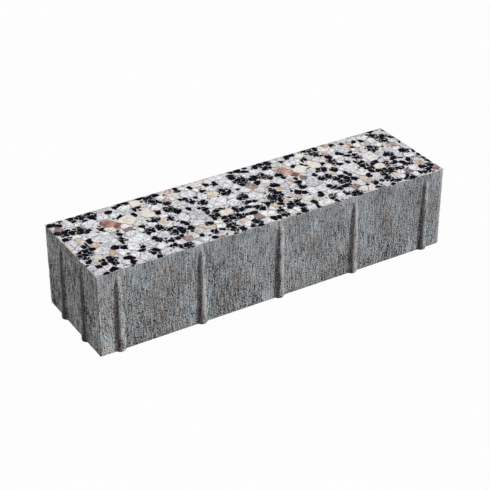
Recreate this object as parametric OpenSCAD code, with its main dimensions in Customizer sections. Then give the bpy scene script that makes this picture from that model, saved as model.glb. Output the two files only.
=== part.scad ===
// Concrete paver: one cast block with tapered spacer nibs on all four sides.
// Millimetres. The block lies on z = 0 with its wearing face up and its length along X.

/* [Block] */
// Length of the block, without the nibs
length = 360; // [240:10:600]
// Width of the block, without the nibs
width = 100; // [80:5:300]
// Thickness, from the bedding face to the wearing face
height = 80; // [50:5:160]
// Radius of the four upright corners
corner_radius = 1.5; // [1.5:0.5:6]
// Bevel that takes the sharpness off the rim of the wearing face
arris = 0.8; // [0.4:0.2:1.4]

/* [Spacer nibs] */
// Nibs on each long side
nibs_long = 5; // [2:1:6]
// From the end of the block to the first nib of a long side
margin_long = 20; // [12:1:50]
// Nibs on each short side
nibs_short = 2; // [2:1:3]
// From the corner of the block to the first nib of a short side
margin_short = 30; // [12:1:30]
// Width of a nib at its foot, before the root fillets
nib_width = 9; // [8:0.5:14]
// How far a nib stands out at its foot
nib_proud = 3; // [1.5:0.25:4]
// How far a nib stands out at its head
nib_head_proud = 1.5; // [1:0.25:3]
// From the wearing face down to the tip of a nib
nib_drop = 4; // [2:0.5:15]
// Height over which the head of a nib comes to its tip
nib_runout = 8; // [4:0.5:20]
// Radius of the fillet between a nib and the wall
root_radius = 1.5; // [0.8:0.1:3]

/* [Hidden] */
$fn = 96;

// The nib's rounded face is a cone on an upright axis, sunk this deep behind the wall
nib_foot_radius = (pow(nib_width / 2, 2) + pow(nib_proud, 2)) / (2 * nib_proud);
nib_sink = nib_foot_radius - nib_proud;
nib_head_radius = nib_sink + nib_head_proud;
nib_height = height - nib_drop;
// What the head cone loses in radius for each millimetre of height
head_slope = nib_head_proud / nib_runout + (nib_proud - nib_head_proud) / nib_height;
// A fillet stops this far short of true tangency, so that its edges stay clean
root_bite = 0.03;
root_reach = root_radius - root_bite;

// Distance from a nib's centre line to the axis of its fillet, where the cone has radius r
function root_offset(r) = sqrt(pow(r + root_reach, 2) - pow(nib_sink + root_reach, 2));

// How far from the wall the fillet leaves a cone of radius r
function root_top(r) = (nib_sink + root_reach) * r / (r + root_reach) - nib_sink;

// Places along one side, evenly spread between the two margins
function nib_places(span, margin, count) =
    [for (i = [0 : count - 1]) margin - span / 2 + i * (span - 2 * margin) / (count - 1)];

// Upright section across the block, with both top edges bevelled
module bevelled_section(span) {
    polygon([
        [-span / 2, 0],
        [span / 2, 0],
        [span / 2, height - arris],
        [span / 2 - arris, height],
        [arris - span / 2, height],
        [-span / 2, height - arris]
    ]);
}

// Quarter round post that turns the bevelled section about an upright corner
module corner_post() {
    rotate_extrude(angle = 90)
        polygon([
            [0, 0],
            [corner_radius, 0],
            [corner_radius, height - arris],
            [corner_radius - arris, height],
            [0, height]
        ]);
}

module block() {
    rotate([90, 0, 90])
        linear_extrude(length - 2 * corner_radius, center = true)
            bevelled_section(width);
    rotate([90, 0, 0])
        linear_extrude(width - 2 * corner_radius, center = true)
            bevelled_section(length);
    for (end = [0, 1], side = [0, 1])
        mirror([end, 0, 0])
            mirror([0, side, 0])
                translate([length / 2 - corner_radius, width / 2 - corner_radius, 0])
                    corner_post();
}

// Everything that the fillet on a nib's +X side leaves open: a tilted round groove and
// the space beyond it. It leans in with the taper of the cone.
module root_groove() {
    foot = root_offset(nib_foot_radius);
    lean = atan((foot - root_offset(nib_head_radius)) / nib_height);
    clear = root_radius + nib_proud;
    translate([foot, -root_reach, 0])
        rotate([0, -lean, 0])
            translate([0, 0, -clear]) {
                cylinder(r = root_radius, h = height + 2 * clear);
                translate([0, -clear, 0])
                    cube([nib_width, 2 * clear, height + 2 * clear]);
            }
}

// Web that thickens the nib's root, as high as the fillets reach up the cone
module root_web() {
    reach = root_offset(nib_foot_radius);
    rotate([90, 0, 90])
        linear_extrude(2 * reach, center = true)
            polygon([
                [nib_sink, 0],
                [-root_top(nib_foot_radius), 0],
                [-root_top(nib_head_radius), nib_height],
                [nib_sink, nib_height]
            ]);
}

// Pointed cone that trims the head of a nib: it leaves the wall at the nib's tip, where
// its radius is the sink, and clears the nib's own cone by nib_runout below that
module head_cone() {
    past = nib_sink / 2 / head_slope;
    translate([0, nib_sink, 0])
        cylinder(r1 = nib_sink + head_slope * nib_height, r2 = nib_sink / 2, h = nib_height + past);
}

// One nib on a wall at y = 0 that faces -Y
module nib() {
    intersection() {
        union() {
            translate([0, nib_sink, 0])
                cylinder(r1 = nib_foot_radius, r2 = nib_head_radius, h = nib_height);
            difference() {
                root_web();
                root_groove();
                mirror([1, 0, 0]) root_groove();
            }
        }
        head_cone();
    }
}

// The nibs of one pair of opposite sides; depth is the distance between those sides
module nib_rows(span, margin, count, depth) {
    for (turn = [0, 180], x = nib_places(span, margin, count))
        rotate(turn)
            translate([x, -depth / 2, 0])
                nib();
}

module paver() {
    color([0.55, 0.56, 0.56])
        union() {
            block();
            nib_rows(length, margin_long, nibs_long, width);
            rotate(90)
                nib_rows(width, margin_short, nibs_short, length);
        }
}

paver();
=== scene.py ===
"""Surfaces of a concrete paver: a pressed block with spacer nibs, faced with granite grains."""

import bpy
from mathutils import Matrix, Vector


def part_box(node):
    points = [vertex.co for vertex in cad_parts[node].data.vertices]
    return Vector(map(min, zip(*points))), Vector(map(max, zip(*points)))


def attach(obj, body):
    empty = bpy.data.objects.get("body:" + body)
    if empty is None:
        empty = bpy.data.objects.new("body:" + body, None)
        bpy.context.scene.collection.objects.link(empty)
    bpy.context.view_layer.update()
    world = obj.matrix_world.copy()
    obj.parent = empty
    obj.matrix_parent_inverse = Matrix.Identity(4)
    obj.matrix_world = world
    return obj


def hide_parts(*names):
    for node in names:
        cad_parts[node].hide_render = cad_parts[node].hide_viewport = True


bl_info = {
    "name": "Granite Faced Paver",
    "version": (1, 0, 0),
    "blender": (4, 5, 0),
    "location": "View3D > Sidebar > Paver",
    "description": "Builds the block, its granite face and a studio around the packed frame",
    "category": "Add Mesh",
}

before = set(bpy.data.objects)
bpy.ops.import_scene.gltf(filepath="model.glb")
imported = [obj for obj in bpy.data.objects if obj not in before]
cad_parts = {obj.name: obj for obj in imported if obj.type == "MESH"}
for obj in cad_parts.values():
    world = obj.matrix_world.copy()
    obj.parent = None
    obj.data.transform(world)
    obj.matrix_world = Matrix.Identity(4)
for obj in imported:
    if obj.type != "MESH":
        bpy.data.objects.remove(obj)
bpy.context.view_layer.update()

import math
import random

import bpy
from bpy.props import FloatProperty, FloatVectorProperty, IntProperty, PointerProperty
from mathutils import Vector, noise

MM = 0.001
BLOCK_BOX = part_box("paver")
ROW_BODY = "root"
NIB_STAND_OUT = 3 * MM
# Width of the band of painted shade that darkens the face along its arrises, and of the
# paler wear along the upright corners
ARRIS_SHADE_WIDTH = 3.5 * MM
CORNER_WEAR = 3 * MM
# The walls' pattern is this many times as wide on the short sides
END_COARSER = 1.9

# The grains that stand out, placed on the wearing face: middle, width and depth in
# millimetres from the block's front left corner, turn in degrees, and tone from 0 to 1.
# The same mix comes twice along the block, and lies wider at the left end than at the right.
# Each run has its start in millimetres and its length against the first's; the mix lies
# SPREAD wider than its mean at the left end, and as much narrower at the right.
RUNS = ((0.0, 1.0), (178.5, 0.947))
SPREAD = 0.134
# The first run shows this many millimetres of the mix, and the second leaves out the coloured
# grains less than RUN_LEAD from its start
RUN_LENGTH = 181
RUN_LEAD = 7
COLOURED_GRAINS = (
    ("rose", 43, 73.8, 14, 11, -66, 0.5),
    ("rose", 47.4, 64.4, 8, 6, -66, 0.5),
    ("cream", 59, 70, 14, 15, 0, 0.9),
    ("cream", 77.5, 71, 12, 17, 0, 0.85),
    ("cream", 76.5, 92.5, 10.5, 8, -15, 1.0),
    ("cream", 12, 60.5, 5, 6.5, 0, 0.4),
    ("cream", 19, 47, 5, 7.5, 0, 0.3),
    ("cream", 27.3, 28, 6, 6, 20, 0.2),
    ("cream", 15.5, 27.5, 5, 6, 0, 0.5),
    ("mauve", 6, 86, 7, 10, 0, 0.1),
    ("mauve", 53, 54.5, 8.5, 4, 20, 0.0),
    ("cream", 40, 56, 4, 4, 0, 0.2),
    ("mauve", 86.5, 15.5, 9, 9, -20, 0.15),
    ("mauve", 155.5, 16, 6.5, 11, 15, 0.1),
    ("rose", 136, 87.5, 3, 4.5, 0, 0.3),
    ("rose", 102, 83, 6.5, 3.5, -50, 1.0),
    ("rose", 110, 97, 4, 6, 0, 0.3),
    ("cream", 141, 71, 9, 8, 0, 0.65),
    ("cream", 135, 37, 12, 11.5, 0, 0.8),
    ("cream", 140, 16, 7, 6, 0, 0.5),
    ("cream", 105.5, 26, 6.5, 7, 0, 0.35),
    ("cream", 113, 21, 6.5, 5, 0, 0.3),
    ("mauve", 178, 66, 9, 11, 0, 0.45),
    ("cream", 178.5, 23, 6.5, 6, 0, 0.2),
    ("mauve", 112, 2.5, 6, 2.5, 0, 0.3),
    ("cream", 82, 50, 5.5, 9, 0, 0.4),
    ("cream", 148, 94, 5, 8, 0, 0.9),
    ("cream", 120, 88, 4, 4, 0, 0.7),
    # Past the first run, so this comes once, at the right end of the block
    ("mauve", 187.5, 7, 5, 11, 10, 0.2),
)
# Middle, width and depth of the black grains and of the clumps that they form
BLACK_CLUMPS = (
    (3, 96.5, 6, 6), (12, 98.5, 3.5, 2.5), (9, 92.5, 4.5, 4.5), (22.5, 95.5, 6, 9),
    (29.5, 93, 6, 12), (37.5, 95, 8, 10), (36, 87, 4, 2.5), (51, 90.5, 3.5, 4.5),
    (59.5, 95, 4.5, 4.5), (64, 97.5, 4.5, 4.5), (69, 98, 4.5, 4), (84.5, 98, 6, 4.5),
    (90, 94.5, 6.5, 8), (97, 96, 4.5, 5), (91, 87.5, 9, 11), (89, 81, 4, 4),
    (95.5, 82, 2.5, 2.5), (117.5, 94, 5.5, 6.5), (129, 91.5, 3, 4), (144.5, 89.5, 3, 5.5),
    (152, 87, 3, 5.5), (135.5, 81, 4, 4), (170, 90.5, 7, 9), (175, 98.5, 5, 3),
    (175.5, 79, 11, 12), (172, 73, 4, 4), (177.5, 73.5, 4, 2.5), (2.5, 80, 4.5, 4.5),
    (10.5, 77, 11, 8), (20.5, 77.5, 6, 8), (24, 71, 6.5, 7), (18, 73, 4, 8),
    (6, 67.5, 7.5, 5), (34.5, 67.5, 4.5, 10), (56, 78, 7.5, 3), (67.5, 75.5, 2, 6),
    (71, 83, 2, 5), (75.5, 84, 4, 4), (86, 67.5, 4, 4.5), (100, 76, 4.5, 8),
    (95.5, 67, 7.5, 11), (100.5, 62.5, 3, 11), (111.5, 77.5, 2.5, 4.5), (115.5, 74.5, 4, 7.5),
    (119, 69.5, 4, 7.5), (126, 74, 4, 3), (126.5, 62.5, 8, 10.5), (110.5, 59, 3, 4.5),
    (152, 69, 12, 11), (165, 67, 2.5, 2.5), (19.5, 56, 5, 6), (44, 57, 2, 3),
    (43, 51, 4.5, 4.5), (77.5, 59, 9, 9), (72, 57, 3, 4), (65, 54, 4, 4.5),
    (90, 52.5, 6, 7.5), (119, 55, 2.5, 4), (122, 49, 5, 11), (160.5, 52, 9, 9),
    (12.5, 49.5, 5.5, 7.5), (7.5, 37.5, 12, 14), (14.5, 40.5, 4.5, 7.5), (15, 34.5, 6, 6),
    (40.5, 42, 5, 8), (44.5, 40, 2.5, 2.5), (67.5, 44.5, 8, 7), (76, 44.5, 5.5, 9),
    (64, 41, 3, 6), (95, 42, 4.5, 4.5), (86, 39, 4, 3), (80, 37.5, 5.5, 7.5),
    (97, 37.5, 4, 3.5), (88.9, 31, 5, 12), (82.5, 30, 7.5, 7.5), (96.6, 29, 3.2, 8),
    (66, 27, 7.5, 10), (75, 20.5, 11, 6), (84, 22.5, 5, 3), (130.5, 43.5, 10, 5),
    (136, 45.5, 4, 5.5), (122, 36, 5.5, 9), (127, 37.5, 4, 6), (147, 36, 11, 10),
    (160, 43, 7.5, 6), (166, 41, 4, 3), (156, 35.5, 5, 5.5), (162, 31, 4.5, 5),
    (172.5, 31, 6, 7.5), (166, 26, 10, 3), (129, 29.5, 5.5, 5.5), (135.5, 29, 4.5, 4),
    (140, 24.5, 14, 10), (129, 22.5, 7, 7.5), (152, 24, 10, 4), (32.3, 34.5, 6.3, 6.3),
    (37.5, 31, 5, 5), (9.5, 29, 4.5, 5), (5.5, 25, 6, 3), (50, 22.5, 3, 4.5),
    (47.5, 19, 5, 3), (114, 27, 8, 4), (15.5, 19, 5, 8), (21.5, 16, 6.5, 15),
    (9.5, 14.5, 4.5, 5), (34.5, 13, 6, 6), (55.5, 11, 7.5, 9), (55, 3, 3, 5),
    (72.5, 10.5, 7, 7.5), (81, 5, 11, 10), (99.5, 13.5, 2.5, 4.5), (110.5, 13, 6, 8),
    (119, 13, 3.5, 3), (107, 5, 3.5, 3), (115, 3, 3.5, 3), (127.5, 12.5, 9, 14),
    (133, 4, 5.5, 7), (143, 5, 4, 4), (150, 7, 7.5, 14), (165.5, 6.5, 4.5, 6),
    (170, 5.5, 4, 5), (176.5, 10, 6.5, 16), (17.5, 4, 5, 6), (9.5, 1.2, 5, 2.5),
    (34.5, 4.5, 4, 6), (31.5, 1, 3.5, 2), (125, 1.5, 3, 3.5), (1, 33, 2.5, 4), (1, 20, 2, 2.5),
    # These come once too, at the right end
    (182, 85, 9, 6), (190.5, 80, 2.5, 7), (181.5, 50, 8, 8), (190, 66, 2, 4),
    (190.5, 46, 2.2, 5), (189.5, 37, 3, 4.5), (190.3, 29, 2.2, 4), (189.5, 21, 3, 5),
    (184.5, 13, 5, 9), (190.5, 93, 2, 4),
)


# ---- settings


def srgb(code):
    """Linear colour, with alpha, of an sRGB hex value such as "#8a8d8f"."""
    parts = [int(code[i : i + 2], 16) / 255 for i in (1, 3, 5)]
    linear = [c / 12.92 if c <= 0.04045 else ((c + 0.055) / 1.055) ** 2.4 for c in parts]
    return (*linear, 1.0)


def size_setting(name, description, default):
    """A length that the user can change."""
    return FloatProperty(name=name, description=description, default=default, unit="LENGTH")


def angle_setting(name, description, degrees):
    """An angle that the user can change."""
    return FloatProperty(
        name=name,
        description=description,
        default=math.radians(degrees),
        subtype="ANGLE",
        unit="ROTATION",
    )


def colour_setting(name, description, code):
    """A colour that the user can change."""
    return FloatVectorProperty(
        name=name,
        description=description,
        default=srgb(code)[:3],
        subtype="COLOR",
        size=3,
        min=0,
        max=1,
    )


def count_setting(name, description, default, least):
    """A whole number that the user can change."""
    return IntProperty(name=name, description=description, default=default, min=least)


class PaverBlockSettings(bpy.types.PropertyGroup):
    """The pressed block and its nibs"""

    nib_proud: size_setting("Nib Stand-Out", "How far a nib stands out at its foot", NIB_STAND_OUT)
    nib_width: size_setting("Nib Width", "Width of a nib at its foot", 9 * MM)
    nib_head_proud: size_setting(
        "Nib Head Stand-Out", "How far a nib stands out near its head", 1.5 * MM
    )
    nib_drop: size_setting("Nib Drop", "From the wearing face down to the tip of a nib", 4 * MM)
    nib_runout: size_setting(
        "Nib Run-Out", "Height over which the head of a nib comes to its tip", 8 * MM
    )
    nibs_long: count_setting("Nibs per Long Side", "Nibs on each long side", 5, 2)
    nibs_short: count_setting("Nibs per Short Side", "Nibs on each short side", 2, 2)
    margin_long: size_setting(
        "Long Margin", "From the block's end to the first nib of a long side", 20 * MM
    )
    margin_short: size_setting(
        "Short Margin", "From the block's corner to the first nib of a short side", 30 * MM
    )
    corner_radius: size_setting("Corner Radius", "Radius of the upright corners", 1.5 * MM)
    wall_relief: size_setting(
        "Wall Relief", "Depth of the drag marks that stripping the mould leaves", 0.08 * MM
    )
    pit_depth: size_setting("Pit Depth", "Depth of the air holes in the walls", 0.5 * MM)
    concrete: colour_setting("Concrete", "Middle grey of the dry pressed concrete", "#94989b")
    # Colour of the grime and of the painted shade along the nib flanks
    grime: colour_setting("Grime", "Dirt that collects against the nibs", "#654236")


class PaverFaceSettings(bpy.types.PropertyGroup):
    """The granite grains of the wearing face"""

    seed: count_setting("Seed", "Seed of the grain layout", 7, 1)
    face_drop: size_setting(
        "Face Drop", "How far the mortar between the grains lies below the face", 0.3 * MM
    )
    rim: size_setting("Rim", "Width of the bare mortar arris round the grains", 0.12 * MM)
    joint: size_setting("Joint", "Mean gap between neighbouring grains", 0.16 * MM)
    largest: size_setting("Largest Grain", "Mean radius of the largest pale grains", 8.5 * MM)
    smallest: size_setting("Smallest Grain", "Mean radius of the smallest pale grains", 2.8 * MM)
    specks: count_setting(
        "Mica Specks", "How many small specks of mica to try between the pale grains", 900, 0
    )
    mortar: colour_setting("Mortar", "White cement mortar between the grains", "#cccbcc")
    pale: colour_setting("Pale Grains", "Feldspar and quartz", "#dadadb")
    cream: colour_setting("Cream Grains", "Cream feldspar", "#c6baac")
    rose: colour_setting("Rose Grains", "Potash feldspar", "#ab827a")
    mauve: colour_setting("Mauve Grains", "Porphyry", "#988381")
    black: colour_setting("Black Grains", "Mica and hornblende", "#05050e")


class PaverStageSettings(bpy.types.PropertyGroup):
    """Camera, lamps and floor"""

    azimuth: angle_setting("Azimuth", "Direction the camera looks in, from +Y towards -X", -31.35)
    elevation: angle_setting("Elevation", "Angle of the camera above the horizon", 31.34)
    distance: size_setting("Distance", "From the camera to the point it looks at", 1.3106)
    aim: FloatVectorProperty(
        name="Aim",
        description="Point the camera looks at, from the centre of the block",
        default=(-7.3 * MM, -1.7 * MM, -8.5 * MM),
        subtype="TRANSLATION",
        unit="LENGTH",
    )
    lens: FloatProperty(
        name="Lens",
        description="Focal length of the camera on a 36 mm sensor",
        default=105.3,
        unit="CAMERA",
    )
    sky: FloatProperty(
        name="Sky", description="Brightness of the light from all round", default=0.2, min=0
    )
    paper: colour_setting("Paper", "Darker tone of the studio paper", "#a8a8a8")


# ---- materials


def node(tree, kind, inputs=None, out=0, stops=None, **settings):
    """Adds a shader node with its settings, its ramp stops, and its inputs set or linked.
    Returns the output asked for, or all of them where out is None."""
    made = tree.nodes.new("ShaderNode" + kind)
    for name, value in settings.items():
        setattr(made, name, value)
    for key, value in (inputs or {}).items():
        if isinstance(value, bpy.types.NodeSocket):
            tree.links.new(value, made.inputs[key])
        else:
            made.inputs[key].default_value = value
    if stops:
        elements = made.color_ramp.elements
        while len(elements) < len(stops):
            elements.new(1.0)
        for element, (place, colour) in zip(elements, stops):
            element.position = place
            element.color = srgb(colour) if isinstance(colour, str) else (*colour, 1.0)
    return made.outputs[out] if made.outputs and out is not None else made.outputs


# Output and setting of a Mix node that mixes colours
COLOURS = {"out": 2, "data_type": "RGBA"}


def per_mm(size):
    """Texture scale at which one cell or wave is size millimetres across."""
    return 1 / (size * MM)


def new_material(name):
    """An empty node material, its tree, and the row's own coordinates."""
    material = bpy.data.materials.new(name)
    material.use_nodes = True
    tree = material.node_tree
    tree.nodes.clear()
    return material, tree, node(tree, "TexCoord", out="Object")


def finish_material(tree, colour, roughness, gloss, height, depth, ior=1.5):
    """Principled shader and output; gloss is its specular level, and height, in 0 to 1,
    stands depth metres deep."""
    bump = node(tree, "Bump", {"Height": height, "Distance": depth, "Strength": 1.0})
    surface = {
        "Base Color": colour,
        "Roughness": roughness,
        "Specular IOR Level": gloss,
        "IOR": ior,
        "Normal": bump,
    }
    node(tree, "OutputMaterial", {"Surface": node(tree, "BsdfPrincipled", surface)})


def stained(tree, base, colour, value, start, full, most=1.0, **settings):
    """base with an sRGB colour over it: none of it where value is at start, rising or falling
    to most of it at full."""
    share = node(tree, "MapRange", {0: value, 1: start, 2: full, 4: most})
    return node(tree, "Mix", {0: share, 6: base, 7: srgb(colour)}, **COLOURS, **settings)


def weighed(tree, value, weight, rest):
    """rest, and value's swing about one half times weight."""
    swing = node(tree, "Math", {0: value, 1: 0.5}, operation="SUBTRACT")
    return node(tree, "Math", {0: swing, 1: weight, 2: rest}, operation="MULTIPLY_ADD")


def wall_scale(tall):
    """Scale that stretches a pattern tall times as high, and draws it coarser on the short
    sides, where it would be too fine to show."""
    return 1, 1 / END_COARSER, 1 / tall


def wall_noise(tree, place, size, tall, detail=0.0):
    """Noise on the walls with cells size millimetres wide, tall times as high."""
    drawn = node(tree, "Mapping", {"Vector": place, "Scale": wall_scale(tall)})
    return node(tree, "TexNoise", {"Vector": drawn, "Scale": per_mm(size), "Detail": detail})


def wall_pores(tree, place):
    """Below zero in open pores 0.8 mm wide, dragged upright, in four cells of ten."""
    drawn = node(tree, "Mapping", {"Vector": place, "Scale": wall_scale(2.2)})
    cells = {"Vector": drawn, "Scale": per_mm(1.15)}
    cell = node(tree, "TexVoronoi", cells, out=None, feature="F1")
    dot = node(tree, "MapRange", {0: cell[0], 1: 0.18, 2: 0.5, 3: 1.0, 4: 0.0})
    lot = node(tree, "SeparateColor", {0: cell["Color"]})
    deep = node(tree, "MapRange", {0: lot, 2: 0.4, 3: -1.1, 4: 0.0})
    return node(tree, "Math", {0: deep, 1: dot}, operation="MULTIPLY")


def pressed_concrete(colour, grime_colour):
    """Dry-cast concrete, pressed and pulled from its mould: matt, grey and sandy, streaked
    upright by the strip, bluish where the cement is rich and browner where it is not."""
    material, tree, place = new_material("pressed_concrete")
    right, _, height = node(tree, "SeparateXYZ", {0: place}, out=None)
    top = BLOCK_BOX[1].z
    wall = BLOCK_BOX[1].x - NIB_STAND_OUT
    end, worn, bay, grime = (
        node(tree, "Attribute", out="Fac", attribute_name=name)
        for name in ("short_side", "worn", "smudge", "grime")
    )
    # Sand of half a millimetre is too fine to show, so it is drawn at 1.1 mm, with drag
    # streaks 1.2 mm wide and 12 mm tall, and clouds 20 mm wide
    sand = wall_noise(tree, place, 1.1, 1.0)
    streak = wall_noise(tree, place, 1.2, 10.0)
    cloud = wall_noise(tree, place, 20, 2.0, 3.0)
    # The short sides are more streaked and less sandy than the long ones
    sandy = node(tree, "MapRange", {0: end, 3: 1.12, 4: 0.95})
    dragged = node(tree, "MapRange", {0: end, 3: 0.74, 4: 0.9})
    gritty = weighed(tree, sand, sandy, wall_pores(tree, place))
    surface = weighed(tree, streak, dragged, gritty)
    # The lower half was filled first and is rougher and a little darker, and the right end
    # is drawn smoother and darker, with painted shade against the strong light of the key lamp
    depth = node(tree, "MapRange", {0: height, 2: top, 3: 1.5, 4: 0.84})
    near = {0: right, 1: wall - 2 * MM, 2: wall - 0.5 * MM}
    calm = node(tree, "MapRange", {**near, 3: 1.0, 4: 0.62})
    # Painted shade darkens the right end, which the key lamp lights strongly
    right_end_shade = node(tree, "MapRange", {**near, 3: 0.0, 4: 0.12})
    level = node(tree, "Math", {0: depth, 1: calm}, operation="MULTIPLY")
    rough = node(tree, "Math", {0: surface, 1: level}, operation="MULTIPLY")
    paler = node(tree, "MapRange", {0: end, 3: 0.035, 4: -0.03})
    clean = node(tree, "MapRange", {0: height, 2: top, 4: paler})
    risen = node(tree, "Math", {0: rough, 1: clean}, operation="ADD")
    # Corner wear and the bloom lighten the walls, the painted highlight on the nib crests lightens
    # them, and the painted shade on the short sides' arris ring darkens them
    lit = node(tree, "Math", {0: worn, 1: 0.2, 2: risen}, operation="MULTIPLY_ADD")
    end_shaded = node(tree, "Math", {0: lit, 1: right_end_shade}, operation="SUBTRACT")
    value = weighed(tree, cloud, 0.74, end_shaded)
    grey = node(
        tree,
        "ValToRGB",
        {0: node(tree, "MapRange", {0: value, 1: -0.5, 2: 0.5})},
        stops=((0, "#2a2929"), (0.25, "#636363"), (0.5, colour), (0.75, "#adb3b9"), (1, "#c9cfd4")),
    )
    # Brown and blue come in patches 10 mm wide and from one sand grain to the next, and more
    # so low down
    patchy = wall_noise(tree, place, 10, 1.8, 2.0)
    speckle = weighed(tree, wall_noise(tree, place, 1.1, 2.0), 1.9, 0.0)
    swing = weighed(tree, patchy, 0.8, speckle)
    stronger = node(tree, "MapRange", {0: height, 2: top, 3: 1.35, 4: 0.5})
    hue = node(tree, "Math", {0: swing, 1: stronger, 2: 0.5}, operation="MULTIPLY_ADD")
    browned = stained(tree, grey, "#f3dfcb", hue, 0.5, 0.78, blend_type="MULTIPLY")
    blued = stained(tree, browned, "#ebf4fb", hue, 0.5, 0.25, blend_type="MULTIPLY")
    # The brownest patches are smudged, most of all between the nibs
    spread = node(tree, "MapRange", {0: bay, 3: 0.04, 4: 0.37})
    smudged = stained(tree, blued, "#54473e", patchy, 0.5, 0.64, spread)
    # Brown grime and painted shade lie against the flanks of the nibs
    thick = node(tree, "MapRange", {0: end, 3: 0.5, 4: 0.85})
    dirt_and_shade = node(tree, "Math", {0: grime, 1: thick}, operation="MULTIPLY")
    grimed = node(tree, "Mix", {0: dirt_and_shade, 6: smudged, 7: (*grime_colour, 1.0)}, **COLOURS)
    # The short sides are plain grey
    tint = node(tree, "MapRange", {0: end, 3: 1.0, 4: 0.15})
    plain = node(tree, "HueSaturation", {"Saturation": tint, "Color": grimed})
    finish_material(tree, plain, 0.92, 0.05, rough, 0.35 * MM)
    return material


def tone_of(tree, place, own_share, fine):
    """0 to 1: the grain's own tone for own_share of it, and for the rest crystals fine
    millimetres wide and clouds three times as wide."""
    own = node(tree, "Attribute", out="Fac", attribute_name="tone")
    cells = {"Vector": place, "Scale": per_mm(fine)}
    crystal = node(tree, "TexVoronoi", cells, out="Color", feature="F1")
    bright = node(tree, "SeparateColor", {0: crystal})
    cloud = node(tree, "TexNoise", {"Vector": place, "Scale": per_mm(3 * fine), "Detail": 4.0})
    spread = node(tree, "MapRange", {0: cloud, 1: 0.28, 2: 0.72})
    half = 0.5 * (1 - own_share)
    tone = 0.0
    for value, weight in ((bright, half), (spread, half), (own, own_share)):
        tone = node(tree, "Math", {0: value, 1: weight, 2: tone}, operation="MULTIPLY_ADD")
    return tone


def rimmed(tree, place, colour, rim_colour, strength):
    """colour darkened by painted shade along the arrises, and over it the grain's worn edge,
    as its rim attribute says."""
    arris_shade = 0.0
    for spot, edge in zip(node(tree, "SeparateXYZ", {0: place}, out=None), BLOCK_BOX[1].xy):
        arris = edge - NIB_STAND_OUT
        out = node(tree, "Math", {0: spot}, operation="ABSOLUTE")
        near = node(tree, "MapRange", {0: out, 1: arris - ARRIS_SHADE_WIDTH, 2: arris, 4: 0.42})
        arris_shade = node(tree, "Math", {0: arris_shade, 1: near}, operation="MAXIMUM")
    # Painted shade darkens the face towards the arrises
    arris_shaded = node(tree, "Mix", {0: arris_shade, 6: colour, 7: srgb("#6e6862")}, **COLOURS)
    rim = node(tree, "Attribute", out="Fac", attribute_name="rim")
    # The dirt in the joints comes and goes over about 7 mm
    fade = node(tree, "TexNoise", {"Vector": place, "Scale": per_mm(7), "Detail": 2.0})
    seen = node(tree, "MapRange", {0: fade, 1: 0.34, 2: 0.56, 3: 0.1, 4: strength})
    share = node(tree, "Math", {0: rim, 1: seen}, operation="MULTIPLY")
    # and is iron brown in places 4 mm across
    rust = node(tree, "TexNoise", {"Vector": place, "Scale": per_mm(4), "Detail": 1.0})
    dirt = stained(tree, srgb(rim_colour), "#7a5f49", rust, 0.42, 0.58)
    return node(tree, "Mix", {0: share, 6: arris_shaded, 7: dirt}, **COLOURS)


def face_mortar(colour):
    """White cement mortar, washed back between the grains: matt, pale and sandy."""
    material, tree, place = new_material("washed_mortar")
    # Sand of 0.9 mm
    sand = node(tree, "TexNoise", {"Vector": place, "Scale": per_mm(0.9), "Detail": 3.0})
    stops = ((0.3, "#aeadb0"), (0.5, colour), (0.7, "#dedddb"))
    pale = node(tree, "ValToRGB", {0: sand}, stops=stops)
    finish_material(tree, pale, 0.9, 0.2, sand, 0.15 * MM)
    return material


def finish_ground(tree, place, base, tone, rim_colour, strength):
    """Gives a stone its worn edge and the low sheen of a surface that was cut."""
    colour = rimmed(tree, place, base, rim_colour, strength)
    finish_material(tree, colour, 0.65, 0.14, tone, 0.08 * MM)


def pale_feldspar(colour):
    """Ground feldspar and quartz: pale grey, cloudy, cool in places and warm in others, with
    hairline cracks and flecks of mica, and a low sheen where it was cut."""
    material, tree, place = new_material("ground_feldspar")
    tone = tone_of(tree, place, 0.42, 1.6)
    base = node(
        tree,
        "ValToRGB",
        {0: tone},
        stops=(
            (0.14, "#929398"),
            (0.31, "#bebec1"),
            (0.45, colour),
            (0.61, "#e8e8e8"),
            (0.85, "#f4f4f2"),
        ),
    )
    # Iron and clay tint the stone, in clouds 7 mm across
    tint = node(tree, "TexNoise", {"Vector": place, "Scale": per_mm(7), "Detail": 2.0})
    warmed = stained(tree, base, "#d9cebd", tint, 0.54, 0.66, 0.6)
    cooled = stained(tree, warmed, "#c7cada", tint, 0.55, 0.42, 0.5)
    # Hairline cracks that wander up to 2.5 mm, in cells 6.5 mm across; a true hairline is too
    # fine to show, so they are drawn 0.7 mm wide
    wander = {"Vector": place, "Scale": per_mm(3), "Detail": 2.0}
    aside = node(tree, "TexNoise", wander, out="Color")
    bent = node(tree, "Mix", {0: 0.0025, 4: place, 5: aside}, out=1, data_type="VECTOR")
    cells = {"Vector": bent, "Scale": per_mm(6.5)}
    crack = node(tree, "TexVoronoi", cells, feature="DISTANCE_TO_EDGE")
    cracked = stained(tree, cooled, "#5f5d66", crack, 0.055, 0.0, 0.85)
    # Mica flecks about 0.8 mm across, one to every 3.5 mm or so
    fleck = node(tree, "TexVoronoi", {"Vector": place, "Scale": per_mm(3.4)}, feature="F1")
    flecked = stained(tree, cracked, "#2c2b32", fleck, 0.18, 0.1, 0.85)
    finish_ground(tree, place, flecked, tone, "#3f4256", 0.95)
    return material


def ground_stone(name, own_share, fine, stops, rim_colour, strength):
    """A ground stone of crystals fine millimetres wide, in the colours of stops."""
    material, tree, place = new_material(name)
    tone = tone_of(tree, place, own_share, fine)
    base = node(tree, "ValToRGB", {0: tone}, stops=stops)
    finish_ground(tree, place, base, tone, rim_colour, strength)
    return material


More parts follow.
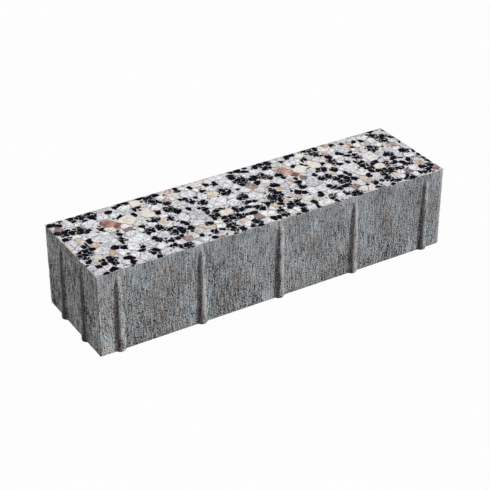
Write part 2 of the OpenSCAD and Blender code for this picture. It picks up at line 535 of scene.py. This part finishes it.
def cream_feldspar(colour):
    """Ground cream feldspar: warm white, and pale orange where the iron is."""
    darker = ((0.15, "#a07a58"), (0.3, "#b3977c"))
    paler = ((0.62, "#d9d3ca"), (0.9, "#e3e0da"))
    stops = (*darker, (0.45, colour), *paler)
    return ground_stone("ground_cream_feldspar", 0.45, 2.6, stops, "#a8a19a", 0.8)


def rose_feldspar(colour):
    """Ground potash feldspar: dusty red, mottled with paler and browner crystals."""
    darker = ((0.2, "#603f3a"), (0.38, "#8f655e"))
    paler = ((0.65, "#c9a49b"), (0.85, "#e0cbc4"))
    stops = (*darker, (0.5, colour), *paler)
    return ground_stone("ground_rose_feldspar", 0.12, 4.0, stops, "#77605f", 0.3)


def mauve_porphyry(colour):
    """Ground porphyry: greyish mauve, speckled with pale and brown crystals."""
    darker = ((0.15, "#55444a"), (0.35, "#7c6867"))
    paler = ((0.7, "#b3a39f"), (0.9, "#cdc4bf"))
    stops = (*darker, (0.5, colour), *paler)
    return ground_stone("ground_mauve_porphyry", 0.3, 3.0, stops, "#77605f", 0.6)


def black_mica(colour):
    """Ground black mica and hornblende: blue-black, with painted glints on the palest flakes."""
    material, tree, place = new_material("ground_black_mica")
    # Flakes 1.1 mm across; the top of the ramp paints glints on the palest of them
    cells = {"Vector": place, "Scale": per_mm(1.1)}
    flake = node(tree, "TexVoronoi", cells, out="Color", feature="F1")
    bright = node(tree, "SeparateColor", {0: flake})
    stops = ((0.0, "#010105"), (0.75, colour), (0.94, "#141424"), (1.0, "#38384e"))
    dark = node(tree, "ValToRGB", {0: bright}, stops=stops)
    finish_material(tree, dark, 0.6, 0.01, bright, 0.1 * MM, ior=1.6)
    return material


# ---- shapes


def new_piece(name, points, faces, materials, marks):
    """A mesh piece in the row's frame that rides on the root body, with its points marked."""
    mesh = bpy.data.meshes.new(name)
    mesh.from_pydata(points, [], faces)
    mesh.update()
    for key, values in marks.items():
        mesh.attributes.new(key, "FLOAT", "POINT").data.foreach_set("value", values)
    for material in materials:
        mesh.materials.append(material)
    piece = bpy.data.objects.new(name, mesh)
    bpy.context.scene.collection.objects.link(piece)
    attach(piece, ROW_BODY)
    return piece


def block_size(settings):
    """Length, width and height of the block without its nibs, from the CAD box."""
    span = BLOCK_BOX[1] - BLOCK_BOX[0]
    return span.x - 2 * settings.nib_proud, span.y - 2 * settings.nib_proud, span.z


def nib_places(span, margin, count):
    """Places of the nibs along one side, from its middle."""
    pitch = (span - 2 * margin) / (count - 1)
    return [margin - span / 2 + i * pitch for i in range(count)]


def lerp(a, b, t):
    return a + (b - a) * t


def faded_out(value, full, none):
    """1 up to full, falling evenly to 0 at none."""
    return min(1.0, max(0.0, (none - value) / (none - full)))


class NibShape:
    """The tapered round nib of the CAD model, as an offset from the wall."""

    # Size of the blend at the roots, and how much of the CAD nib's stand-out is used, which
    # keeps the relief inside it
    SOFT = 0.4 * MM
    SHARE = 0.985

    def __init__(self, settings, height):
        half = settings.nib_width / 2
        self.foot = (half**2 + settings.nib_proud**2) / (2 * settings.nib_proud)
        self.sink = self.foot - settings.nib_proud
        self.head = self.sink + settings.nib_head_proud
        self.height = height - settings.nib_drop
        self.slope = (
            settings.nib_head_proud / settings.nib_runout
            + (settings.nib_proud - settings.nib_head_proud) / self.height
        )
        self.reach = self.foot + 3 * MM

    def soften(self, bulge):
        """Blends a bulge into the wall, as the root fillets do."""
        return (bulge + math.sqrt(bulge**2 + self.SOFT**2)) / 2

    def offset(self, across, z):
        """How far the nib stands out at a distance across from its centre line."""
        radius = self.foot + (self.head - self.foot) * z / self.height
        radius = min(radius, self.sink + self.slope * (self.height - z))
        if radius <= 0 or abs(across) > self.reach:
            return 0.0
        bulge = math.sqrt(max(radius**2 - across**2, 0)) - self.sink
        return max(self.soften(bulge) - self.soften(-self.sink), 0) * self.SHARE


def stations(half, places, reach, fine, coarse):
    """Steps along a side from -half to half, finer within reach of each nib."""
    steps = [-half]
    while steps[-1] < half:
        near = min(abs(steps[-1] - place) for place in places)
        steps.append(steps[-1] + (fine if near < reach else coarse))
    stretch = 2 * half / (steps[-1] + half)
    return [(step + half) * stretch - half for step in steps]


def wall_columns(settings, nib):
    """Columns round the block: place on the wall, outward normal, distance to the nearest
    nib's centre line, how near a corner it is, 1 on the short sides, and whether the nearest
    nib is a chalky one: every other nib of the long sides is."""
    length, width, _ = block_size(settings)
    radius = settings.corner_radius
    sides = (
        (length, width, nib_places(length, settings.margin_long, settings.nibs_long)),
        (width, length, nib_places(width, settings.margin_short, settings.nibs_short)),
    )
    columns = []
    for turn in range(4):
        span, depth, places = sides[turn % 2]
        angle = turn * math.pi / 2
        along = Vector((math.cos(angle), math.sin(angle)))
        out = Vector((along.y, -along.x))
        half = span / 2 - radius
        for step in stations(half, places, nib.reach, fine=0.42 * MM, coarse=0.86 * MM):
            nearest = min(range(len(places)), key=lambda n: abs(step - places[n]))
            across = step - places[nearest]
            corner = max(0.0, 1 - (half - abs(step)) / CORNER_WEAR)
            place = along * step + out * depth / 2
            chalky = turn % 2 == 0 and nearest % 2 == 0
            columns.append((place, out, across, corner, turn % 2, chalky))
        centre = along * half + out * (depth / 2 - radius)
        for i in range(1, 4):
            lean = i * math.pi / 8
            normal = out * math.cos(lean) + along * math.sin(lean)
            short = abs(normal.x) > 0.7
            columns.append((centre + normal * radius, normal, 1.0, 1.0, short, False))
    return columns


def wall_relief(x, y, z, corner, settings):
    """Drag marks, sand and air holes of the wall at a point given in millimetres."""
    # Drag marks 2.6 and 1.3 mm wide, sand of 1.9 mm, and swells 24 mm across
    drag = noise.noise(Vector((x / 2.6, y / 2.6, z / 30)))
    drag += 0.6 * noise.noise(Vector((x / 1.3, y / 1.3, z / 14)) + Vector((9, 3, 5)))
    sand = noise.noise(Vector((x, y, z)) / 1.9 + Vector((31, 7, 2)))
    swell = noise.noise(Vector((x, y, z)) / 24)
    depth = settings.wall_relief * (drag + 0.7 * sand + 0.9 * swell)
    # Air holes 2.6 mm wide, in about half of the cells 6.5 mm wide
    near, cell = noise.voronoi(Vector((x / 6.5, y / 6.5, z / 9)))
    if noise.cell(cell[0] * 7.3) > 0.45:
        depth -= settings.pit_depth * max(0.0, 1 - (near[0] / 0.2) ** 2)
    # Corners lose small flakes, up to 0.45 mm deep
    flake = max(0.0, noise.noise(Vector((x / 3, y / 3, z / 4.5)) + Vector((5, 5, 5))))
    return depth - corner * flake * 0.45 * MM


def wall_rows(height):
    """Heights of the rows of points up the walls: two close to the bed, and then evenly to
    just under the arris of the face."""
    low, high, step = 0.9 * MM, height - 1.3 * MM, 1.22 * MM
    count = int((high - low) / step)
    return [0.0, 0.35 * MM] + [lerp(low, high, i / count) for i in range(count + 1)]


def make_block(settings, face):
    """The pressed block: a belt of walls with nibs and relief, closed by bed and face."""
    _, _, height = block_size(settings)
    nib = NibShape(settings, height)
    columns = wall_columns(settings, nib)
    face_z = height - face.face_drop
    rows = wall_rows(height)
    points = []
    marks = {"grime": [], "worn": [], "smudge": []}

    def mark(**values):
        """Marks the point just added, with 0 for what is left out."""
        for key, column in marks.items():
            column.append(values.get(key, 0.0))

    for z in rows:
        low = faded_out(z, 42 * MM, 58 * MM)
        foot = faded_out(z, 6 * MM, 24 * MM)
        for place, out, across, corner, short, chalky in columns:
            stand = nib.offset(across, z)
            px, py = (place + out * stand) / MM
            drop = wall_relief(px, py, z / MM, corner, settings)
            # The arris of the bed is rubbed off a little
            if z == 0:
                drop -= 0.25 * MM
            spot = place + out * min(stand + drop, settings.nib_proud)
            points.append((spot.x, spot.y, z))
            # Grime and painted shade lie on the flanks; on the long sides one flank of each nib
            # gets a quarter as much, which keeps the painted shade on the front's flanks that face
            # away from the key lamp
            flank = stand - nib.offset(abs(across) + 1.2 * MM, z)
            shaded_flank = 0.25 if across > 0 and not short else 1.0
            # The crests of the nibs are painted paler: a painted highlight
            crest_highlight = max(0.0, 1 - abs(across) / (3.2 * MM)) * min(1.0, stand / (0.5 * MM))
            # The left foot of the chalky nibs is bloomed white
            bloom = foot * faded_out(abs(across + 12 * MM), 5 * MM, 9 * MM) if chalky else 0.0
            # Brown smudges keep to the middle of each bay, low down
            middle = 1 - faded_out(abs(across), 13 * MM, 27 * MM)
            mark(
                grime=min(1.0, max(0.0, flank / (1.2 * MM))) * shaded_flank,
                worn=max(corner, crest_highlight, 1.5 * bloom),
                smudge=0.6 if short else low * middle,
            )
    # The arris of the face: nicked along its edge, then flat up to the grains. Each ring has
    # its inset from the wall, and 1 where it is nicked.
    for inset, edge in ((0.05 * MM, 1.0), (face.rim + 0.05 * MM, 0.0)):
        for place, out, _, corner, short, _ in columns:
            px, py = place / MM
            nick = edge * max(0.0, noise.noise(Vector((px / 3.1, py / 3.1, 4.0))) - 0.15)
            spot = place - out * (inset + nick * 0.3 * MM)
            points.append((spot.x, spot.y, face_z - edge * 0.15 * MM - nick * 0.4 * MM))
            # On the short sides the arris ring is painted darker: painted shade over the highlight
            # that its bevel catches
            mark(worn=corner - 0.5 * short)
    around = len(columns)
    levels = len(rows) + 2
    marks["short_side"] = [float(column[4]) for column in columns] * levels
    faces = []
    for first in range(0, (levels - 1) * around, around):
        faces += ring_faces(first, first + around, around)
    top = len(faces)
    faces.append(tuple(range((levels - 1) * around, levels * around)))
    faces.append(tuple(reversed(range(around))))
    materials = (pressed_concrete(settings.concrete, settings.grime), face_mortar(face.mortar))
    block = new_piece("pressed_block", points, faces, materials, marks)
    polygons = block.data.polygons
    polygons.foreach_set("use_smooth", [i < top for i in range(len(polygons))])
    polygons[top].material_index = 1
    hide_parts("paver")


def ring_faces(low, high, count):
    """Faces between two rings of count points that start at low and high."""
    return [
        (low + i, low + (i + 1) % count, high + (i + 1) % count, high + i) for i in range(count)
    ]


# ---- grains


class Grain:
    """One grain of the face: middle, half width and half depth in millimetres, turn, kind
    and tone."""

    def __init__(self, kind, x, y, wide, deep, turn, tone):
        self.kind, self.x, self.y, self.tone = kind, x, y, tone
        self.wide, self.deep = wide, deep
        self.cos, self.sin = math.cos(turn), math.sin(turn)
        self.size = math.sqrt(wide * deep)

    def reach(self, nx, ny):
        """How far the grain reaches in the direction nx, ny."""
        along = nx * self.cos + ny * self.sin
        aside = ny * self.cos - nx * self.sin
        return math.hypot(self.wide * along, self.deep * aside)

    def corner(self, angle, scale, extra):
        """A point outside the grain's outline, as the angle goes round it."""
        u = (self.wide * scale + extra) * math.cos(angle)
        v = (self.deep * scale + extra) * math.sin(angle)
        return self.x + u * self.cos - v * self.sin, self.y + u * self.sin + v * self.cos

    def crowds(self, others, slack):
        """Whether another is nearer than slack times what the two grains reach together."""
        for other in others:
            dx, dy = other.x - self.x, other.y - self.y
            gap = math.hypot(dx, dy) or 1e-6
            nx, ny = dx / gap, dy / gap
            if gap < slack * (self.reach(nx, ny) + other.reach(nx, ny)):
                return True
        return False


class Patch:
    """Grains filed by place, so that neighbours are found quickly."""

    CELL = 12.0

    def __init__(self, length, width, margin):
        self.low = (-length / 2 - margin, -width / 2 - margin)
        self.high = (length / 2 + margin, width / 2 + margin)
        self.cells = {}
        self.grains = []

    def anywhere(self, rng):
        """A random place in the patch."""
        return [rng.uniform(low, high) for low, high in zip(self.low, self.high)]

    def near(self, x, y, rings=2):
        """The grains filed within rings cells of a place."""
        i, j = int(x // self.CELL), int(y // self.CELL)
        return [
            grain
            for di in range(-rings, rings + 1)
            for dj in range(-rings, rings + 1)
            for grain in self.cells.get((i + di, j + dj), ())
        ]

    def add(self, grain, slack):
        """Adds the grain if it is inside the patch and crowds no other."""
        inside = all(
            low <= v <= high for low, v, high in zip(self.low, (grain.x, grain.y), self.high)
        )
        if not inside or grain.crowds(self.near(grain.x, grain.y), slack):
            return False
        cell = int(grain.x // self.CELL), int(grain.y // self.CELL)
        self.cells.setdefault(cell, []).append(grain)
        self.grains.append(grain)
        return True


def run_places(x, width, length, lead=0.0):
    """The places along the face at which something of the mix comes, and its width there;
    the second run leaves out what is less than lead from its start."""
    for start, pace in RUNS:
        place = (start + pace * x) / length
        if start == 0 and x >= RUN_LENGTH or start > 0 and x < lead:
            continue
        if place <= 1.0:
            widened = 1 + SPREAD * (1 - 2 * place)
            place += SPREAD * place * (1 - place)
            yield (place - 0.5) * length, width * pace * widened


def lay_coloured(patch, length, width):
    """The rose, mauve and cream grains."""
    for kind, x, y, wide, deep, turn, tone in COLOURED_GRAINS:
        for spot, broad in run_places(x, wide, length, RUN_LEAD):
            turned = math.radians(turn)
            grain = Grain(kind, spot, y - width / 2, broad / 2, deep / 2, turned, tone)
            patch.add(grain, slack=0.75)


def lay_black(patch, length, width, rng):
    """Black grains, alone or as clumps of small crystals with pale chips among them."""
    for x, y, wide, deep in BLACK_CLUMPS:
        for spot, broad in run_places(x, wide, length):
            middle = (spot, y - width / 2)
            # What is under 6.4 mm is one crystal, and the rest are clumps
            if max(wide, deep) < 6.4:
                turn = rng.gauss(0, 0.35)
                crystal = Grain("black", *middle, broad * 0.57, deep * 0.57, turn, rng.random())
                patch.add(crystal, slack=0.68)
                continue
            # Kind, half width, tries to the square millimetre, and how far out it may lie
            for kind, size, share, reach in (
                ("black", 2.9, 0.3, 0.9),
                ("pale", 0.8, 0.04, 0.9),
                ("black", 2.1, 0.8, 1.0),
                ("black", 1.5, 1.0, 1.0),
                ("black", 1.0, 0.8, 1.1),
                ("black", 0.6, 0.12, 1.4),
            ):
                for _ in range(int(share * wide * deep) + 1):
                    angle, out = rng.uniform(0, math.tau), math.sqrt(rng.random()) * reach
                    stretch = rng.uniform(1.0, 1.35)
                    crystal = Grain(
                        kind,
                        middle[0] + out * math.cos(angle) * max(broad / 2 - size * 0.5, 0.3),
                        middle[1] + out * math.sin(angle) * max(deep / 2 - size * 0.5, 0.3),
                        size * stretch,
                        size / stretch,
                        rng.uniform(0, math.pi),
                        rng.random(),
                    )
                    patch.add(crystal, slack=0.78)


def lay_pale(patch, largest, smallest, rng):
    """Pale grains in what is left, the large ones first."""
    # Each size is tried 1.6 times for each of its squares that the patch holds
    area = math.prod(high - low for low, high in zip(patch.low, patch.high))
    size = largest
    while size > smallest:
        for _ in range(int(area / size**2 * 1.6)):
            stretch = rng.uniform(1.0, 1.3)
            grain = Grain(
                "pale",
                *patch.anywhere(rng),
                size * stretch,
                size / stretch,
                rng.uniform(0, math.pi),
                rng.random(),
            )
            patch.add(grain, slack=0.88)
        size *= 0.85


def lay_specks(patch, count, rng):
    """Small mica specks where pale grains meet."""
    for _ in range(count):
        size = rng.uniform(0.4, 0.85)
        speck = Grain("black", *patch.anywhere(rng), size, size, 0.0, rng.random())
        patch.add(speck, slack=0.93)


def clip(outline, nx, ny, limit):
    """The part of an outline where nx x + ny y is at most limit."""
    kept = []
    for (ax, ay), (bx, by) in zip(outline, outline[1:] + outline[:1]):
        a = nx * ax + ny * ay - limit
        b = nx * bx + ny * by - limit
        if a <= 0:
            kept.append((ax, ay))
        if (a < 0 < b) or (b < 0 < a):
            t = a / (a - b)
            kept.append((lerp(ax, bx, t), lerp(ay, by, t)))
    return kept


def grain_cell(grain, others, joint):
    """The grain's share of the face: up to the line between it and each neighbour."""
    # Black crystals are angular shards, and the rest fill the room between them
    scale, extra, turns = (1.9, 1.5, 20) if grain.kind != "black" else (1.45, 0.32, 6)
    outline = [
        grain.corner((i + grain.tone) * math.tau / turns, scale, extra) for i in range(turns)
    ]
    limit = max(grain.wide, grain.deep) * scale + extra
    for other in others:
        dx, dy = other.x - grain.x, other.y - grain.y
        gap = math.hypot(dx, dy)
        if other is grain or gap > 2 * limit + 6:
            continue
        nx, ny = dx / gap, dy / gap
        own, theirs = grain.reach(nx, ny), other.reach(nx, ny)
        # Joints between black crystals are wider
        between = joint * (1.7 if grain.kind == other.kind == "black" else 1.0)
        edge = (gap**2 + own**2 - theirs**2) / (2 * gap) - between / 2
        outline = clip(outline, nx, ny, nx * grain.x + ny * grain.y + edge)
        if len(outline) < 3:
            return []
    return outline


def rounded(outline, radius):
    """The outline with each corner cut back by up to radius and turned in a curve."""
    points = []
    count = len(outline)
    for i in range(count):
        here = Vector(outline[i])
        back = Vector(outline[i - 1]) - here
        ahead = Vector(outline[(i + 1) % count]) - here
        first = here + back * min(0.45, radius / max(back.length, 1e-6))
        last = here + ahead * min(0.45, radius / max(ahead.length, 1e-6))
        points += [first, (first + last) / 4 + here / 2, last]
    return points


def stepped(outline, step):
    """The outline with points no further than step apart."""
    points = []
    for a, b in zip(outline, outline[1:] + outline[:1]):
        count = max(1, math.ceil((b - a).length / step))
        points += [a.lerp(b, i / count) for i in range(count)]
    return points


def thinned(outline, step):
    """The outline without points that crowd the one before."""
    points = []
    for point in outline:
        if not points or (point - points[-1]).length > step:
            points.append(point)
    return points


def wandered(point):
    """The point moved as the natural, uneven edges of grains wander: by up to 2 mm over 8 mm,
    and by up to 1.1 mm more over 2.4 mm."""
    wide = noise.noise_vector(Vector((point.x, point.y, 0)) / 8)
    fine = noise.noise_vector(Vector((point.x, point.y, 50)) / 2.4)
    return point + wide.xy * 2.0 + fine.xy * 1.1


def area_of(outline):
    """Area inside an outline that goes round anticlockwise."""
    pairs = zip(outline, outline[1:] + outline[:1])
    return sum(a[0] * b[1] - b[0] * a[1] for a, b in pairs) / 2


def grain_outline(grain, patch, joint, half):
    """The grain's outline on the face, in millimetres, cut off at the block's arris."""
    cell = grain_cell(grain, patch.near(grain.x, grain.y, 3), joint * (0.5 + grain.tone))
    if len(cell) < 3:
        return []
    soft = (0.1 if grain.kind == "black" else 0.14) * grain.size
    outline = thinned(stepped(rounded(cell, soft), step=0.85), step=0.3)
    outline = [tuple(wandered(point)) for point in outline]
    for nx, ny, limit in ((1, 0, half[0]), (-1, 0, half[0]), (0, 1, half[1]), (0, -1, half[1])):
        outline = clip(outline, nx, ny, limit) if len(outline) > 2 else []
    # A sliver under 0.4 square millimetres is left out
    return outline if len(outline) > 2 and area_of(outline) > 0.4 else []


# Inset from the edge in millimetres, height share above the mortar, and rim attribute
GRAIN_RINGS = ((0.0, -1.6, 1.0), (0.0, 0.4, 1.0), (0.25, 0.95, 1.0), (0.6, 1.0, 0.0))


def held(moved, start, half, inset):
    """A coordinate drawn in from the outline, but hardly where the arris cuts the grain."""
    if abs(start) < half - 0.02:
        return moved
    return math.copysign(half - min(inset, 0.3), start)


class GrainMesh:
    """The grains of one kind as they grow into one mesh: half is the face's half length and
    half width in millimetres, and the grains rise above base."""

    def __init__(self, half, base, rise):
        self.half, self.base, self.rise = half, base, rise
        self.points, self.faces = [], []
        self.marks = {"rim": [], "tone": []}

    def add_point(self, x, y, z, rim, tone):
        """A point with its marks; x and y are in millimetres, and z is in metres."""
        self.points.append((x * MM, y * MM, z))
        self.marks["rim"].append(rim)
        self.marks["tone"].append(tone)

    def add(self, grain, outline):
        """A low closed stone with bevelled edges, set into the mortar."""
        count = len(outline)
        cx = sum(p[0] for p in outline) / count
        cy = sum(p[1] for p in outline) / count
        size = math.sqrt(area_of(outline) / math.pi)
        tilt = noise.noise_vector(Vector((grain.x, grain.y, 3)) * 0.7) * 0.004
        first = len(self.points)
        rings = list(GRAIN_RINGS)
        if size > 2.5:
            rings.append((size * 0.5, 1.0, 0.0))
        for inset, share, worn in rings:
            scale = max(0.15, 1 - inset / size)
            for x, y in outline:
                px = held(lerp(cx, x, scale), x, self.half[0], inset)
                py = held(lerp(cy, y, scale), y, self.half[1], inset)
                lift = tilt.x * (px - cx) + tilt.y * (py - cy)
                if share > 0.9:
                    lift += 0.03 * noise.noise(Vector((px, py, 0)) / 1.7)
                z = self.base + self.rise * min(share, 1.0) + (lift * MM if share > 0.8 else 0)
                self.add_point(px, py, z, worn, grain.tone)
        last = first + (len(rings) - 1) * count
        for low in range(first, last, count):
            self.faces += ring_faces(low, low + count, count)
        middle = len(self.points)
        self.add_point(cx, cy, self.base + self.rise, 0.0, grain.tone)
        self.faces += [(last + i, last + (i + 1) % count, middle) for i in range(count)]
        self.faces.append(tuple(reversed(range(first, first + count))))


def make_grains(settings, face):
    """One joined piece for each kind of grain."""
    length, width, height = (v / MM for v in block_size(settings))
    rng = random.Random(face.seed)
    noise.seed_set(face.seed)
    patch = Patch(length, width, margin=8.0)
    lay_coloured(patch, length, width)
    lay_black(patch, length, width, rng)
    lay_pale(patch, face.largest / MM, face.smallest / MM, rng)
    lay_specks(patch, face.specks, rng)
    base = height * MM - face.face_drop
    # The grains' tops keep 0.06 mm below the wearing face, which leaves room for their waves
    rise = face.face_drop - 0.06 * MM
    half = (length / 2 - face.rim / MM, width / 2 - face.rim / MM)
    for kind, material in (
        ("pale", pale_feldspar(face.pale)),
        ("cream", cream_feldspar(face.cream)),
        ("rose", rose_feldspar(face.rose)),
        ("mauve", mauve_porphyry(face.mauve)),
        ("black", black_mica(face.black)),
    ):
        mesh = GrainMesh(half, base, rise)
        for grain in patch.grains:
            if grain.kind == kind:
                outline = grain_outline(grain, patch, face.joint / MM, half)
                if outline:
                    mesh.add(grain, outline)
        new_piece(kind + "_grains", mesh.points, mesh.faces, (material,), mesh.marks)


# ---- stage


# Direction that each lamp shines from, its strength, and its width in degrees
LAMPS = {
    "key_right": ((0.80, -0.42, 0.43), 1.27, 11),
    "edge_left": ((-0.35, 0.86, 0.37), 0.60, 12),
    "overhead": ((-0.1, 0.1, 0.99), 0.12, 30),
}
# Half a side of the floor, in metres, and how white the camera sees it
FLOOR_HALF = 12.0
FLOOR_GLOW = 0.97
# Width of the camera's sensor, in millimetres
SENSOR_WIDTH = 36


def seen_plainly(tree):
    """1 where a camera ray or a glossy ray looks, and 0 for the light on the object."""
    rays = node(tree, "LightPath", out=None)
    looks = {0: rays["Is Camera Ray"], 1: rays["Is Glossy Ray"]}
    return node(tree, "Math", looks, operation="MAXIMUM")


def studio_paper(colour):
    """White studio paper: flat white to the camera, with the object's soft shadow kept."""
    material, tree, _ = new_material("studio_paper")
    # Faint mottles 60 mm across, in the floor's own coordinates, which run from 0 to 1
    mottle = node(tree, "TexNoise", {"Scale": FLOOR_HALF * 2 / 0.06, "Detail": 2.0})
    white = node(tree, "ValToRGB", {0: mottle}, stops=((0.0, colour), (1.0, "#b4b4b4")))
    paper = node(tree, "BsdfDiffuse", {"Color": white})
    light = node(tree, "Emission", {"Color": (1, 1, 1, 1), "Strength": 1.0})
    share = node(tree, "Math", {0: seen_plainly(tree), 1: FLOOR_GLOW}, operation="MULTIPLY")
    shown = node(tree, "MixShader", {0: share, 1: paper, 2: light})
    node(tree, "OutputMaterial", {"Surface": shown})
    return material


def add_sun(name, toward, strength, degrees):
    """A soft distant lamp that shines from the direction toward."""
    data = bpy.data.lights.new(name, "SUN")
    data.energy = strength * math.pi
    data.angle = math.radians(degrees)
    lamp = bpy.data.objects.new(name, data)
    lamp.rotation_mode = "QUATERNION"
    lamp.rotation_quaternion = Vector(toward).to_track_quat("Z", "Y")
    bpy.context.scene.collection.objects.link(lamp)


def studio_sky(strength):
    """Even light from all round, which the camera and reflections see as white."""
    world = bpy.data.worlds.new("studio_sky")
    world.use_nodes = True
    tree = world.node_tree
    tree.nodes.clear()
    shown = node(tree, "MapRange", {0: seen_plainly(tree), 3: strength, 4: 1.0})
    light = node(tree, "Background", {"Color": (1, 1, 1, 1), "Strength": shown})
    node(tree, "OutputWorld", {"Surface": light})
    return world


def make_stage(stage):
    """Floor, lamps, sky and camera."""
    scene = bpy.context.scene
    scene.view_settings.view_transform = "Standard"
    mesh = bpy.data.meshes.new("floor")
    corners = ((-1, -1), (1, -1), (1, 1), (-1, 1))
    spots = [(x * FLOOR_HALF, y * FLOOR_HALF, 0) for x, y in corners]
    mesh.from_pydata(spots, [], [(0, 1, 2, 3)])
    mesh.materials.append(studio_paper(stage.paper))
    floor = bpy.data.objects.new("floor", mesh)
    # A hair's breadth under the block's bed, so that the two never coincide
    floor.location.z = -0.05 * MM
    scene.collection.objects.link(floor)
    for name, lamp in LAMPS.items():
        add_sun(name, *lamp)
    scene.world = studio_sky(stage.sky)

    centre = (BLOCK_BOX[0] + BLOCK_BOX[1]) / 2
    back = Vector(
        (
            math.sin(stage.azimuth) * math.cos(stage.elevation),
            -math.cos(stage.azimuth) * math.cos(stage.elevation),
            math.sin(stage.elevation),
        )
    )
    data = bpy.data.cameras.new("camera")
    data.lens = stage.lens
    data.sensor_width = SENSOR_WIDTH
    camera = bpy.data.objects.new("camera", data)
    camera.location = centre + Vector(stage.aim) + back * stage.distance
    camera.rotation_mode = "QUATERNION"
    camera.rotation_quaternion = back.to_track_quat("Z", "Y")
    scene.collection.objects.link(camera)
    scene.camera = camera


# ---- add-on


class PAVER_OT_block(bpy.types.Operator):
    """Build the pressed concrete block with its nibs"""

    bl_idname = "paver.block"
    bl_label = "Build Block"

    def execute(self, context):
        make_block(context.scene.paver_block, context.scene.paver_face)
        return {"FINISHED"}


class PAVER_OT_grains(bpy.types.Operator):
    """Lay the granite grains of the wearing face"""

    bl_idname = "paver.grains"
    bl_label = "Lay Grains"

    def execute(self, context):
        make_grains(context.scene.paver_block, context.scene.paver_face)
        return {"FINISHED"}


class PAVER_OT_stage(bpy.types.Operator):
    """Set up the floor, the lamps and the camera"""

    bl_idname = "paver.stage"
    bl_label = "Set Stage"

    def execute(self, context):
        make_stage(context.scene.paver_stage)
        return {"FINISHED"}


class PAVER_PT_panel(bpy.types.Panel):
    """Lists the paver's builders"""

    bl_label = "Paver"
    bl_idname = "PAVER_PT_panel"
    bl_space_type = "VIEW_3D"
    bl_region_type = "UI"
    bl_category = "Paver"

    def draw(self, context):
        scene = context.scene
        for settings, builder in (
            (scene.paver_block, PAVER_OT_block),
            (scene.paver_face, PAVER_OT_grains),
            (scene.paver_stage, PAVER_OT_stage),
        ):
            box = self.layout.box()
            for name in settings.__annotations__:
                box.prop(settings, name)
            box.operator(builder.bl_idname)


CLASSES = (
    PaverBlockSettings,
    PaverFaceSettings,
    PaverStageSettings,
    PAVER_OT_block,
    PAVER_OT_grains,
    PAVER_OT_stage,
    PAVER_PT_panel,
)


def register():
    for cls in CLASSES:
        bpy.utils.register_class(cls)
    bpy.types.Scene.paver_block = PointerProperty(type=PaverBlockSettings)
    bpy.types.Scene.paver_face = PointerProperty(type=PaverFaceSettings)
    bpy.types.Scene.paver_stage = PointerProperty(type=PaverStageSettings)


def unregister():
    del bpy.types.Scene.paver_block
    del bpy.types.Scene.paver_face
    del bpy.types.Scene.paver_stage
    for cls in reversed(CLASSES):
        bpy.utils.unregister_class(cls)


def main():
    register()
    bpy.ops.paver.block()
    bpy.ops.paver.grains()
    bpy.ops.paver.stage()


if __name__ == "__main__":
    main()
